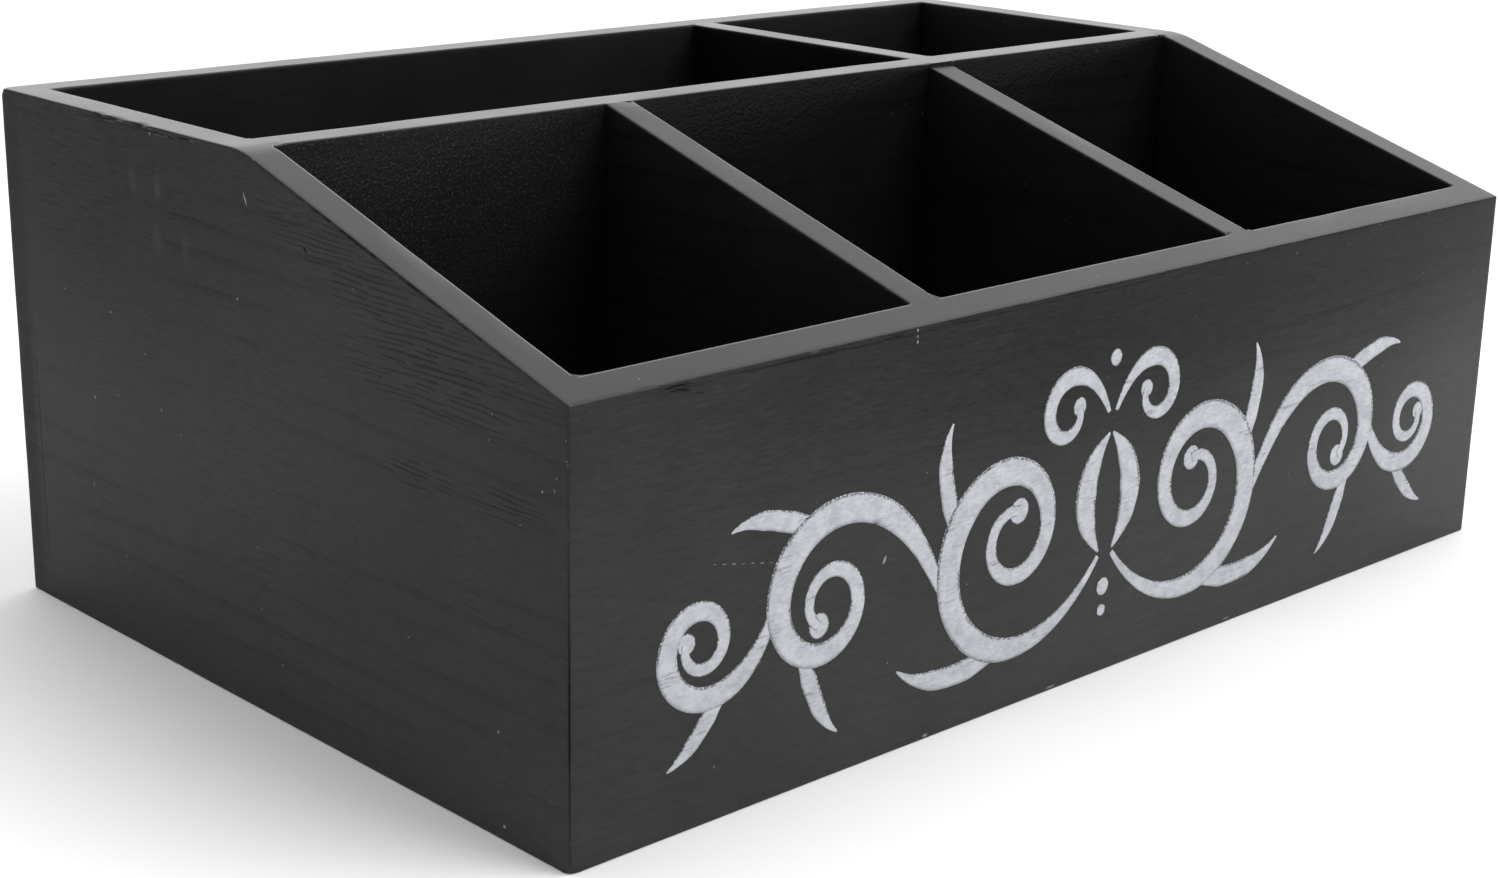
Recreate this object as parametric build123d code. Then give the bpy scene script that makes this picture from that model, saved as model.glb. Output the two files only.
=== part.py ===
"""Coffee station organizer: an open wooden box with five compartments, nailed and glued from boards.

Millimetres, +Z up. The origin is on the ground under the middle of the box. +X runs along the front
from left to right, as a person who stands before it sees it, and +Y runs to the back. The tops are
level at the back and slope down to a lower front panel. Two compartments lie behind the middle
divider and three lie in front of it.
"""

import os
from math import atan2, cos, sin, tan

from build123d import *

# Overall sizes
box_width = 380.0
box_depth = 252.0
box_height = 150.0
front_height = 112.0  # of the front face, where the slope ends

# Thickness of the boards
board_thickness = 10.5  # the walls and the short dividers
middle_thickness = 12.0  # the middle divider
bottom_thickness = 6.0

# Places of the dividers
slope_start = 2.0  # y of the middle divider's front face, where the level tops end
front_divider_place = 66.5  # from the centre plane to the middle of each front divider
rear_divider_place = 69.0  # x of the rear divider's middle

# Sanded edges
bend_round = 30.0  # where the level tops turn into the slope
long_edge_round = 1.0  # the edges that run along X
end_edge_round = 0.6  # the edges round the two ends

# Brads: thin headed nails, sunk below the board's face, with filler over the head
brad_length = 30.0
brad_width = 1.25
brad_thickness = 1.05
brad_head_width = 2.0
brad_head_depth = 0.8
brad_point_length = 1.6
brad_point_width = 0.3
brad_sink = 1.5
brad_clearance = 0.05  # between a brad and the wood round it

# Where the brads stand, as shares of the joint that they hold
upright_shares = (0.18, 0.5, 0.82)  # of the joint's height
level_shares = (-0.35, 0.0, 0.35)  # of the inside length, from its middle
tail_share = 0.75  # of a short divider's length, from the outer wall that it meets

half_width = box_width / 2
half_depth = box_depth / 2
inner_half_width = half_width - board_thickness
inner_half_depth = half_depth - board_thickness
middle_back = slope_start + middle_thickness
half_board = board_thickness / 2
slope_angle = atan2(box_height - front_height, slope_start + half_depth)
bend_reach = bend_round * tan(slope_angle / 2)  # from the bend's corner to each end of its arc


def sanded_shape():
    """The outside of the finished box as one block: every board is cut to it."""
    corners = [(-half_depth, front_height), (-half_depth, 0), (half_depth, 0), (half_depth, box_height)]
    slope_end = (slope_start - bend_reach * cos(slope_angle), box_height - bend_reach * sin(slope_angle))
    level_end = (slope_start + bend_reach, box_height)
    straight = Polyline(slope_end, *corners, level_end)
    bend = RadiusArc(slope_end, level_end, bend_round)
    block = extrude(make_face(Plane.YZ * (straight + bend)), amount=half_width, both=True)
    long_edges = block.edges().filter_by(Axis.X)
    block = fillet([long_edges.sort_by_distance((0, y, z))[0] for y, z in corners], long_edge_round)
    ends = block.faces().sort_by(Axis.X)
    return fillet(ends[0].edges() + ends[-1].edges(), end_edge_round)


def board(x_span, y_span, z_span):
    """A board that fills three spans, cut to the sanded outside."""
    spans = (x_span, y_span, z_span)
    size = [high - low for low, high in spans]
    middle = [(low + high) / 2 for low, high in spans]
    return Pos(*middle) * Box(*size) & outside


def brad_shape(grow):
    """A brad driven along +Z from its head at the origin, grown all round by grow."""
    head = brad_head_width / 2 + grow
    shank = brad_width / 2 + grow
    point = brad_point_width / 2 + grow
    neck = brad_head_depth + grow
    tip = brad_length + grow
    right_side = [(head, -grow), (head, neck), (shank, neck), (shank, tip - brad_point_length), (point, tip)]
    left_side = [(-x, z) for x, z in reversed(right_side)]
    outline = Plane.XZ * Polyline(*right_side, *left_side, close=True)
    return extrude(make_face(outline), amount=brad_thickness / 2 + grow, both=True)


def head_pocket():
    """The pocket between the board's face, at the origin, and the head of a sunk brad."""
    width = brad_head_width + brad_clearance * 2
    thickness = brad_thickness + brad_clearance * 2
    depth = brad_sink - brad_clearance
    return Pos(0, 0, depth / 2) * Box(width, thickness, depth)


def joint_place(point, driven, head_along):
    """Where a brad goes in: a point of the board's face, its direction and the way its head lies."""
    return Location(Plane(origin=point, x_dir=head_along, z_dir=driven))


def wall_places(x, wall_y, driven_y, height):
    """Brads one above the other through the front or back panel."""
    return [
        joint_place((x, wall_y, height * share), (0, driven_y, 0), (1, 0, 0)) for share in upright_shares
    ]


def side_places(y, height):
    """Brads one above the other through both side panels."""
    return [
        joint_place((side * half_width, y, height * share), (-side, 0, 0), (0, 1, 0))
        for side in (-1, 1)
        for share in upright_shares
    ]


def bottom_places():
    """Brads through the four walls into the edges of the bottom panel."""
    z = bottom_thickness / 2
    places = []
    for end in (-1, 1):
        for share in level_shares:
            x = 2 * inner_half_width * share
            y = 2 * inner_half_depth * share
            places.append(joint_place((x, end * half_depth, z), (0, -end, 0), (1, 0, 0)))
            places.append(joint_place((end * half_width, y, z), (-end, 0, 0), (0, 1, 0)))
    return places


def short_divider_places(x, wall_y, end_y, height):
    """Brads of a front or rear divider: through the outer wall, and one up through the bottom panel."""
    inward = 1 if wall_y < end_y else -1
    tail_y = wall_y + (end_y - wall_y) * tail_share
    tail = joint_place((x, tail_y, 0), (0, 0, 1), (0, 1, 0))
    return wall_places(x, wall_y, inward, height) + [tail]


def corner_places(wall_y, height):
    """Brads through the front or back panel into the ends of both side panels."""
    inward = -1 if wall_y > 0 else 1
    corners = (-half_width + half_board, half_width - half_board)
    return [place for x in corners for place in wall_places(x, wall_y, inward, height)]


outside = sanded_shape()

left_span = (-half_width, -inner_half_width)
right_span = (inner_half_width, half_width)
inner_x_span = (-inner_half_width, inner_half_width)
inner_y_span = (-inner_half_depth, inner_half_depth)
full_height = (0, box_height)
above_bottom = (bottom_thickness, box_height)
front_divider_y = (-inner_half_depth, slope_start)
rear_divider_y = (middle_back, inner_half_depth)


def divider_span(x):
    """The thickness of a divider whose middle is at x."""
    return (x - half_board, x + half_board)


boards = {
    "front_panel": board((-half_width, half_width), (-half_depth, -inner_half_depth), full_height),
    "back_panel": board((-half_width, half_width), (inner_half_depth, half_depth), full_height),
    "left_side_panel": board(left_span, inner_y_span, full_height),
    "right_side_panel": board(right_span, inner_y_span, full_height),
    "bottom_panel": board(inner_x_span, inner_y_span, (0, bottom_thickness)),
    "middle_divider": board(inner_x_span, (slope_start, middle_back), above_bottom),
    "rear_divider": board(divider_span(rear_divider_place), rear_divider_y, above_bottom),
    "left_front_divider": board(divider_span(-front_divider_place), front_divider_y, above_bottom),
    "right_front_divider": board(divider_span(front_divider_place), front_divider_y, above_bottom),
}

# The brads of each joint, in groups of alike fasteners
brad_places = {
    "front_panel_brads": corner_places(-half_depth, front_height),
    "back_panel_brads": corner_places(half_depth, box_height),
    "bottom_panel_brads": bottom_places(),
    "middle_divider_brads": side_places((slope_start + middle_back) / 2, box_height),
    "rear_divider_brads": short_divider_places(rear_divider_place, half_depth, middle_back, box_height),
    "front_divider_brads": short_divider_places(-front_divider_place, -half_depth, slope_start, front_height)
    + short_divider_places(front_divider_place, -half_depth, slope_start, front_height),
}

all_places = [place for places in brad_places.values() for place in places]
sunk = Pos(0, 0, brad_sink)
holes = [place * sunk * brad_shape(brad_clearance) for place in all_places]
pockets = [place * head_pocket() for place in all_places]

os.makedirs("parts", exist_ok=True)
for name, solid in boards.items():
    drilled = solid - holes - pockets
    export_step(drilled, f"parts/{name}.step")

for name, places in brad_places.items():
    brads = [place * sunk * brad_shape(0) for place in places]
    export_step(Compound(brads), f"parts/{name}.step")

export_step(Compound(pockets), "parts/filler_plugs.step")
print(len(boards), "boards,", len(all_places), "brads")
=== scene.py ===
# %% [markdown]
# # A painted coffee station organizer in Blender
# The real object is an open wooden box for a worktop, glued and nailed from nine boards and painted a satin
# black. Its level tops slope down to a low front, and the front carries a scroll in worn white paint. This
# script dresses the exact CAD model of it. Each board is modelled again with the small unevenness of real
# wood, and gets a paint made of nodes. The CAD model stays underneath as the fixed frame, so a piece that is
# drawn at the frame's own coordinates needs no fitting.

# %% Load the frame
from math import acos, atan2, cos, degrees, pi, radians, sin, tan

import bmesh
import bpy
from mathutils import Matrix, Vector, noise


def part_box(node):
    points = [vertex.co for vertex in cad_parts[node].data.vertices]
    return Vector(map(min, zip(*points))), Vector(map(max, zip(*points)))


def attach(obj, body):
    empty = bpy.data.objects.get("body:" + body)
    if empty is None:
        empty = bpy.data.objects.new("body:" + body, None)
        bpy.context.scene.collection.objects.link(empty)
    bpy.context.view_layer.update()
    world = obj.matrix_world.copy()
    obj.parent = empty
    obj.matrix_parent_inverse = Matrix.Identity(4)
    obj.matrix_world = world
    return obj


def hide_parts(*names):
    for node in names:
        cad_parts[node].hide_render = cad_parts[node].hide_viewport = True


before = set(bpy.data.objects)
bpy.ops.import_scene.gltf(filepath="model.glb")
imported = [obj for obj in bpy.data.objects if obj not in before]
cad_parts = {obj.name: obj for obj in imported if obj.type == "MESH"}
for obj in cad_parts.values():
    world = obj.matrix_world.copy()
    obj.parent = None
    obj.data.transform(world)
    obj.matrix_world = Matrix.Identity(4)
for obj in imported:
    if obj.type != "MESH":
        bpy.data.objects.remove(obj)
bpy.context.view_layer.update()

# %% [markdown]
# A photograph fixes where its camera stood. The edges of the box were measured in it, and the camera below
# puts the CAD model's edges on them to about a pixel. It stands before the left front corner, a little
# above the rim and less than a metre away, so the near corner looks large. A camera looks along its own -Z,
# so its +Z axis points back from the box to the camera.

# %% Camera
camera_azimuth = radians(-43.636)
camera_elevation = radians(16.727)
camera_roll = radians(1.104)
camera_place = Vector((-0.5161, -0.5250, 0.2599))
image_width = 1500
focal_pixels = 2477.2

backward = Vector((sin(camera_azimuth), -cos(camera_azimuth), tan(camera_elevation))).normalized()
upright = (-backward).to_track_quat("-Z", "Y").to_matrix()
turned = Matrix.Rotation(camera_roll, 3, backward) @ upright

camera = bpy.data.objects.new("camera", bpy.data.cameras.new("camera"))
camera.data.sensor_width = 36
camera.data.lens = focal_pixels / image_width * camera.data.sensor_width
camera.data.clip_start = 0.01
camera.matrix_world = Matrix.Translation(camera_place) @ turned.to_4x4()
bpy.context.collection.objects.link(camera)
bpy.context.scene.camera = camera
print("lens in mm:", round(camera.data.lens, 2))

# %% [markdown]
# Every light and every finish here is a net of nodes, and most of the nodes only work out a number. They
# could be linked one at a time, but then the sum is hard to read. So a small class wraps the output of a
# node, and a Python sum on it, such as 1 - mask, adds the Math nodes that work it out.

# %% Node sums
class Wire:
    """The output of one node. A sum on it adds the Math node that works the sum out."""

    def __init__(self, tree, socket=None):
        self.tree = tree
        self.socket = socket

    def node(self, kind, settings, sockets, out=0):
        """Adds a node of a kind, with its settings first, then the values or wires of its sockets."""
        made = self.tree.nodes.new(kind)
        for name, value in settings.items():
            setattr(made, name, value)
        for key, value in sockets.items():
            socket = self.pick(made.inputs, key)
            if isinstance(value, Wire):
                self.tree.links.new(value.socket, socket)
            else:
                socket.default_value = value
        return Wire(self.tree, self.pick(made.outputs, out))

    def pick(self, sockets, key):
        """A socket by its place in the list or its name, among those that the settings leave in use."""
        used = [socket for socket in sockets if socket.enabled]
        return used[key] if isinstance(key, int) else next(s for s in used if s.name == key)

    def sum(self, operation, first, second):
        return self.node("ShaderNodeMath", {"operation": operation}, {0: first, 1: second})

    def __add__(self, other):
        return self.sum("ADD", self, other)

    def __radd__(self, other):
        return self.sum("ADD", other, self)

    def __sub__(self, other):
        return self.sum("SUBTRACT", self, other)

    def __rsub__(self, other):
        return self.sum("SUBTRACT", other, self)

    def __mul__(self, other):
        return self.sum("MULTIPLY", self, other)

    def __rmul__(self, other):
        return self.sum("MULTIPLY", other, self)

    def __truediv__(self, other):
        return self.sum("DIVIDE", self, other)

    def __rtruediv__(self, other):
        return self.sum("DIVIDE", other, self)


def bare_nodes(owner):
    """Gives a material or a world its nodes, and returns a wire that new nodes can be hung on."""
    owner.use_nodes = True
    return Wire(owner.node_tree)


# %% [markdown]
# The box was photographed in bright, even light. Black paint shows mostly what it mirrors, so the light
# matters more than the paint's colour. The level tops are seen at a flat angle and mirror the bright
# backdrop behind the box, while the inner faces mirror the dim side of the room where the camera stands.
# A ring of softboxes could do this, but a world that fades from a bright side to a dim side is smoother,
# and needs no lamp in view. The camera itself sees it as plain white.

# %% Light tent
bright_side = Vector((0.62, 0.62, 0.48)).normalized()
bright_strength = 1.68
dim_strength = 0.35
dim_until, bright_from = -0.2, 0.75  # cosines of the angle to the bright side

tent = bpy.data.worlds.new("light_tent")
sky = bare_nodes(tent)
direction = sky.node("ShaderNodeTexCoord", {}, {}, "Generated")
towards = sky.node(
    "ShaderNodeVectorMath", {"operation": "DOT_PRODUCT"}, {0: direction, 1: bright_side}, "Value"
)
span = {"From Min": dim_until, "From Max": bright_from, "To Min": dim_strength, "To Max": bright_strength}
glow = sky.node("ShaderNodeMapRange", {"interpolation_type": "SMOOTHSTEP"}, {"Value": towards, **span})
camera_sees = sky.node("ShaderNodeLightPath", {}, {}, "Is Camera Ray")
brightness = camera_sees + (1 - camera_sees) * glow
backdrop = tent.node_tree.nodes["Background"]
backdrop.inputs["Color"].default_value = (1, 1, 1, 1)
tent.node_tree.links.new(brightness.socket, backdrop.inputs["Strength"])
bpy.context.scene.world = tent
bpy.context.scene.view_settings.view_transform = "Standard"
print("light tent from", dim_strength, "to", bright_strength)

# %% [markdown]
# One softbox above the front lights the floor that the front panel mirrors, and the white scroll. An area
# light shines along its own -Z axis, so it is aimed in the same way as the camera.

# %% Softbox
key_place = Vector((0.7, -1.5, 1.6))
key_aim = Vector((0.1, -0.3, 0))
key_side = 1.5
key_watts = 34

key = bpy.data.objects.new("key_softbox", bpy.data.lights.new("key_softbox", "AREA"))
key.data.size = key_side
key.data.energy = key_watts
key_turn = (key_aim - key_place).to_track_quat("-Z", "Y").to_matrix()
key.matrix_world = Matrix.Translation(key_place) @ key_turn.to_4x4()
bpy.context.collection.objects.link(key)
print("softbox", key_side, "m square,", round((key_place - key_aim).length, 2), "m away")

# %% [markdown]
# The floor is a sheet of pale paper, so wide that no view shows its rim. A disc of one face is enough,
# because only its colour matters.

# %% Floor
floor_radius = 12
floor_grey = 0.91

floor_shape = bmesh.new()
bmesh.ops.create_circle(floor_shape, cap_ends=True, segments=96, radius=floor_radius)
floor = bpy.data.objects.new("floor", bpy.data.meshes.new("floor"))
floor_shape.to_mesh(floor.data)
floor_shape.free()
bpy.context.collection.objects.link(floor)

floor_paper = bpy.data.materials.new("floor_paper")
bare_nodes(floor_paper)
paper = floor_paper.node_tree.nodes["Principled BSDF"]
paper.inputs["Base Color"].default_value = (floor_grey, floor_grey, floor_grey, 1)
paper.inputs["Roughness"].default_value = 0.9
paper.inputs["Specular IOR Level"].default_value = 0.1
floor.data.materials.append(floor_paper)
print("floor", 2 * floor_radius, "m wide")

# %% [markdown]
# ## The black paint
# The paint is thin and satin, so the wood under it shows as relief: fine fibres along the board, the lines
# of the growth rings, and the dust that settled while it dried. A picture of wood would repeat and stretch.
# A pattern that is worked out in space doesn't, and it also runs on from one board's top to the next, as
# paint does over a filled joint. All patterns are in millimetres.

# %% Places and noises
cloud_size = 34


def in_millimetres(bare):
    """The place on the piece in millimetres."""
    place = bare.node("ShaderNodeTexCoord", {}, {}, "Object")
    return place.node("ShaderNodeVectorMath", {"operation": "SCALE"}, {0: place, "Scale": 1000.0})


def stretched(place, factors):
    """The place times a factor along each axis, so that a small factor draws a pattern out."""
    return place.node("ShaderNodeVectorMath", {"operation": "MULTIPLY"}, {0: place, 1: factors})


def lumps(place, size, detail=1.0, wavy=0.0):
    """Soft noise from 0 to 1, with lumps of about this size in millimetres."""
    sockets = {"Vector": place, "Scale": 1 / size, "Detail": detail, "Distortion": wavy}
    return place.node("ShaderNodeTexNoise", {}, sockets)


print("a noise of", cloud_size, "mm lumps has the scale", round(1 / cloud_size, 4))

# %% [markdown]
# A noise is soft everywhere, but paint starts and stops. A fade cuts a noise off between two heights, which
# leaves islands with soft shores. A spot is one such island at a known place: the distance from its centre,
# measured in its own half sizes, faded at 1. It could be painted on a picture, but then the picture would
# need a place of its own on every board.

# %% Masks
spot_blur = 0.85


def fade(wire, start, end):
    """0 before start, 1 after end, and a smooth step between them."""
    span = {"From Min": start, "From Max": end, "To Min": 0.0, "To Max": 1.0}
    return wire.node("ShaderNodeMapRange", {"interpolation_type": "SMOOTHSTEP"}, {"Value": wire, **span})


def spot(place, centre, radii, tilt):
    """1 in the middle of an ellipsoid and 0 outside it, with a soft edge. The tilt is in degrees."""
    turn = tuple(radians(angle) for angle in tilt)
    inside = place.node(
        "ShaderNodeMapping",
        {"vector_type": "TEXTURE"},
        {"Vector": place, "Location": centre, "Rotation": turn, "Scale": radii},
    )
    away = inside.node("ShaderNodeVectorMath", {"operation": "LENGTH"}, {0: inside}, "Value")
    return fade(away, 1.0, 1 - spot_blur)


def blend(mask, below, above):
    """One colour below and another above, mixed by a mask."""
    return mask.node("ShaderNodeMix", {"data_type": "RGBA"}, {"Factor": mask, "A": below, "B": above})


print("a spot with a half size of 2 mm is full within", round(2 * (1 - spot_blur), 2), "mm")

# %% [markdown]
# Scratches and fibres are too fine for the mesh, so they only tilt the surface where light meets it. Bump
# does that from a height. Its distance is in metres, so a height of 1 there stands for 1 mm here.

# %% Relief and finish
bump_distance = 0.001


def relief(height):
    """Turns a height in millimetres into the tilt of the surface."""
    return height.node("ShaderNodeBump", {}, {"Strength": 1.0, "Distance": bump_distance, "Height": height})


def dress(material, fixed, varying):
    """Sets what is the same all over the surface, and links what varies."""
    surface = material.node_tree.nodes["Principled BSDF"]
    for name, value in fixed.items():
        surface.inputs[name].default_value = value
    for name, wire in varying.items():
        material.node_tree.links.new(wire.socket, surface.inputs[name])


print("a height of 1 lifts the surface by", 1000 * bump_distance, "mm")

# %% [markdown]
# Wood is a stack of cones round the pith of the tree. A board is a slice of it, so its lines are cuts
# through rings whose middle lies somewhere beside the board. The distance from that line, bent a little by
# noise, gives rings that no wave texture gives: wide and curved on one face, narrow on another. Along the
# grain everything is stretched five times or more, and the fibres break up the rims of the rings. Where the
# plane pulled at the fibres, they stand up as rows of short fine steps, called creases here. Rings and rows
# both repeat, so one function cuts a number into teeth.

# %% Growth rings and fibres
grain_turn = {"x": (0, 0, 0), "y": (0, 0, -90)}
ring_width = 9
crease_spacing = 1.5
tooth_end = 0.93


def along_grain(place, runs, pith):
    """The place turned so that the grain runs along X, measured from the pith."""
    turn = tuple(radians(angle) for angle in grain_turn[runs])
    moved = place.node("ShaderNodeVectorMath", {"operation": "SUBTRACT"}, {0: place, 1: pith})
    return moved.node("ShaderNodeMapping", {}, {"Vector": moved, "Rotation": turn})


def fibres(grain, size, length=18):
    """Fine wavy ridges along the grain, from 0 to 1. The length is in widths."""
    return lumps(stretched(grain, (1 / length, 1, 1)), size, 2, wavy=0.7)


def teeth(count, start, full):
    """A tooth in each whole step of a number. It rises from start to full and falls off at the end."""
    share = count.node("ShaderNodeMath", {"operation": "FRACT"}, {0: count})
    return fade(share, start, full) * fade(share, 1.0, tooth_end)


def creases(grain):
    """Rows of short fine steps along the grain of an upright face, bent and broken up by noise."""
    upward = grain.node("ShaderNodeSeparateXYZ", {}, {0: grain}, "Z")
    bend = 3.0 * lumps(stretched(grain, (0.15, 1, 1)), 7, 2)
    broken = fade(lumps(stretched(grain, (0.2, 1, 1)), 1.6), 0.38, 0.5)
    return broken * teeth(upward / crease_spacing + bend, 0.5, 0.85)


def late_wood(grain, fibre):
    """The thin dark line at the end of each year's ring, from 0 to 1, with ragged rims."""
    bent = lumps(stretched(grain, (0.12, 0.7, 0.7)), 22)
    across = stretched(grain, (0.05, 1, 1))
    reach = across.node("ShaderNodeVectorMath", {"operation": "LENGTH"}, {0: across}, "Value")
    return teeth(reach / ring_width + 1.8 * bent + 0.3 * fibre, 0.6, 0.9)


print("rings", ring_width, "mm wide: a side 150 mm high cuts through about", 150 // ring_width)

# %% [markdown]
# The paint itself is one function, and each board calls it with its own numbers. Gloss is the index of
# refraction, low because thin matt paint mirrors less than a clear varnish. The black was matched to how
# bright each board looks; the real box has one paint, so the differences in black between boards are painted
# light and shade. Where sandpaper has gone over an edge the paint is thin and a few bare nicks show. So the
# mesh carries a value called worn: 0 on the faces, higher on the eased edges, and 1 where an edge was eased
# most. There the paint can draw a light line, a painted highlight of the light that a rounded edge catches. A
# mark is a soft spot that is lighter than the paint, or darker if its strength is below 0. Mist is a lighter
# spot made of fine grains. A gouge is a spot pressed into the wood, and darkened as painted shade. The
# grooves between the fibres and the creases are darkened too: painted shade where shade falls in them. What
# is the same all over the surface stays a plain number on the shader.

# %% The paint
ridge_size = 1.0
ring_depth = 0.012
crease_depth = 0.13
dust_spacing = 9.5
gouge_depth = 0.4
mark_height = 0.08
blackest = 0.001
most_groove_shade = 0.9
eased_wear, highlight_edge_wear = 0.8, 1.0  # the values of worn on the eased edges


def marked(here, places):
    """The sum of some soft spots, each times its own strength."""
    return sum(strength * spot(here, *place) for *place, strength in places)


def satin_black(name, runs, pith, gloss, satin, black=0.009, ridges=0.05, lines=0.5, speckle=0.0,
                groove_shading=0.12, wear_and_highlight=0.0, creased=(), marks=(), mist=(), gouges=()):
    """Black paint on a board whose grain runs along x or y. Each spot is a centre, half sizes and a tilt."""
    material = bpy.data.materials.new(name)
    here = in_millimetres(bare_nodes(material))
    grain = along_grain(here, runs, pith)
    cloud = lumps(here, cloud_size)
    fibre = fibres(grain, ridge_size)

    streak = late_wood(grain, fibre) * fade(lumps(stretched(grain, (0.2, 1, 1)), 26), 0.42, 0.58)
    patch = 0.25 + 0.75 * fade(cloud, 0.42, 0.65)
    height = ridges * patch * fibre - ring_depth * lines * streak
    if speckle:
        height = height + speckle * lumps(here, 0.9)

    cells = here.node("ShaderNodeTexVoronoi", {}, {"Vector": here, "Scale": 1 / dust_spacing}, "Distance")
    edge = here.node("ShaderNodeAttribute", {"attribute_name": "worn"}, {}, "Fac")
    dust = 0.15 * fade(cells, 0.03, 0.015)
    nicks = 0.03 * fade(edge, 0.3, 0.9) * fade(lumps(stretched(grain, (0.4, 1, 1)), 1.6), 0.69, 0.75)
    light = dust + nicks
    # Painted highlight: a light line along the edges eased most, for the light that a rounded edge catches.
    if wear_and_highlight:
        light = light + wear_and_highlight * fade(edge, eased_wear, highlight_edge_wear)
    if marks:
        light = light + marked(here, marks)
    if mist:
        light = light + marked(here, mist) * (0.3 + 1.5 * fade(lumps(here, 0.7, 1), 0.54, 0.72))
    height = height + mark_height * light

    # Painted shade: the grooves between the fibres, and the creases below, are darkened where shade would
    # fall in them.
    groove_shade = groove_shading * patch * fade(fibre, 0.5, 0.36)
    if creased:
        crease = creases(grain) * sum(spot(here, *place) for place in creased)
        height = height - crease_depth * crease
        groove_shade = here.sum("MINIMUM", groove_shade + 0.45 * crease, most_groove_shade)
    grainy = 0.6 + 0.8 * fibres(grain, 0.6, 7)
    shade = black * (1 - 0.6 * lines * streak) * (0.75 + 0.5 * cloud) * grainy * (1 - groove_shade) + light
    matt = satin + 0.12 * (cloud - 0.5) + 0.12 * lines * streak + 0.5 * light
    if gouges:
        torn = 0.35 + 1.3 * fade(fibres(grain, 0.8), 0.4, 0.6)
        pressed = torn * sum(spot(here, *place) for place in gouges)
        height = height - gouge_depth * pressed
        # Painted shade: a gouge is darkened as well as pressed in, for the shade that falls in it.
        shade = shade * (1 - 0.8 * pressed)
    shade = here.sum("MAXIMUM", shade, blackest)
    painted = shade.node("ShaderNodeCombineColor", {}, {"Red": shade, "Green": shade, "Blue": shade})
    dress(material, {"IOR": gloss}, {"Base Color": painted, "Roughness": matt, "Normal": relief(height)})
    return material


print("ridges", ridge_size, "mm wide, a speck of dust about every", dust_spacing, "mm")

# %% [markdown]
# The left side is the nearest face, so it shows the most: creases under the slope, pale smears, a scratch,
# specks of dust, and chips under its top edge. They lie where the photograph has them. A dark band over the
# end of the back board, a dark line at the near corner and darker paint towards the top are painted shade,
# and the paler paint at the foot is painted light. The gouges draw dark lines under the top edges, as painted
# shade. The joint with the back board is a dark line. Each mark is a row of numbers: its strength, its place
# on the face, its half sizes in millimetres and sometimes a tilt.

# %% Paint of the left side
side_x = -190
slope_foot = Vector((0, -126, 112))
slope_head = Vector((0, 2, 150))
slope_angle = atan2(slope_head.z - slope_foot.z, slope_head.y - slope_foot.y)
slope_tilt = degrees(slope_angle)


def on_side(y, z, long, high, tilt=0.0):
    """A spot on the left side: its centre, its half sizes and its tilt."""
    return (side_x, y, z), (2, long, high), (tilt, 0, 0)


def marks_on(face, rows):
    """The marks on a face: each row is a strength and what the face's own function takes."""
    return [(*face(*place), strength) for strength, *place in rows]


left_marks = marks_on(on_side, [
    # pale smears
    (0.012, 55.3, 134.1, 2.8, 6.5, -8),
    (0.016, 42.6, 134.2, 2.4, 6.0, 6),
    (0.012, 44.0, 119.9, 3.6, 6.0),
    (0.009, 30.1, 119.6, 2.8, 5.0),
    # scratches
    (0.35, 0.5, 137.6, 0.35, 2.4, -25),
    (0.4, 45.2, 148.3, 0.5, 1.2),
    # specks of dust
    (0.16, 71.0, 95.3, 0.6, 0.6),
    (0.12, 53.3, 87.0, 0.5, 0.5),
    (0.2, 5.9, 111.1, 0.5, 0.5),
    (0.12, 46.4, 72.9, 0.5, 0.7),
    (0.16, 82.2, 68.7, 0.6, 0.6),
    (0.12, 85.8, 42.4, 0.6, 0.6),
    (0.16, -99.8, 27.3, 0.6, 0.6),
    (0.2, -116.7, 90.3, 0.5, 0.5),
    (0.16, -121.0, 91.5, 0.4, 0.4),
    (0.3, -101.7, 3.8, 0.7, 0.6),
    (0.1, -124.9, 103.9, 0.4, 0.4),
    (0.12, -125.2, 99.3, 0.4, 0.4),
    (0.1, -121.7, 94.6, 0.4, 0.4),
    (0.12, -98.8, 104.2, 0.4, 0.4),
    (0.1, -97.4, 97.8, 0.3, 0.5),
    # painted shade and painted light; the joint with the back board is a dark joint line
    (-0.02, 122.5, 60, 8.5, 130),  # the end of the back board
    (-0.03, -126, 40, 0.8, 62),  # the near corner
    (-0.03, 115.5, 44, 0.5, 52),  # the joint with the back board
    (-0.022, 95, 145, 180, 95),  # darker towards the top
    (0.008, -90, -8, 170, 62),  # paler at the foot
])
left_gouges = [
    on_side(62, 148.5, 62, 1.0),
    on_side(-62, 130.6, 62, 0.8, slope_tilt),
    on_side(-26.2, 129.1, 1.6, 1.0, 30),
]
left_creases = [
    on_side(-50, 126, 66, 14, slope_tilt),
    on_side(-78, 108, 64, 17, -3),
    on_side(-70, 83, 24, 7, -3),
    on_side(-103, 84, 20, 8, -3),
]
# The black of the left side was matched to how bright the face looks, so its lighter black is painted light.
left_paint = satin_black(
    "left_paint", "y", (-215, 0, -150), 1.17, 0.42, black=0.029, ridges=0.12, lines=0.25, groove_shading=0.16,
    creased=left_creases, marks=left_marks, gouges=left_gouges,
)
print("left side:", len(left_marks), "marks,", len(left_gouges), "gouges,", len(left_creases), "creased")

# %% [markdown]
# The front has fine level grain, split slivers under its top edge at the left, three nicks in a row further
# along that edge, and a scratch of small white dots. A dark line at the near corner and darker paint towards
# the top are painted shade, and the paler foot and right end are painted light. A long gouge draws a dark
# line under the top edge, as painted shade. The other two outer faces aren't in the photograph, and get a
# quieter paint of the same kind.

# %% Paint of the front, the right and the back
front_y = -126


def on_front(x, z, long, high, tilt=0.0):
    """A spot on the front."""
    return (x, front_y, z), (long, 2, high), (0, tilt, 0)


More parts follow.
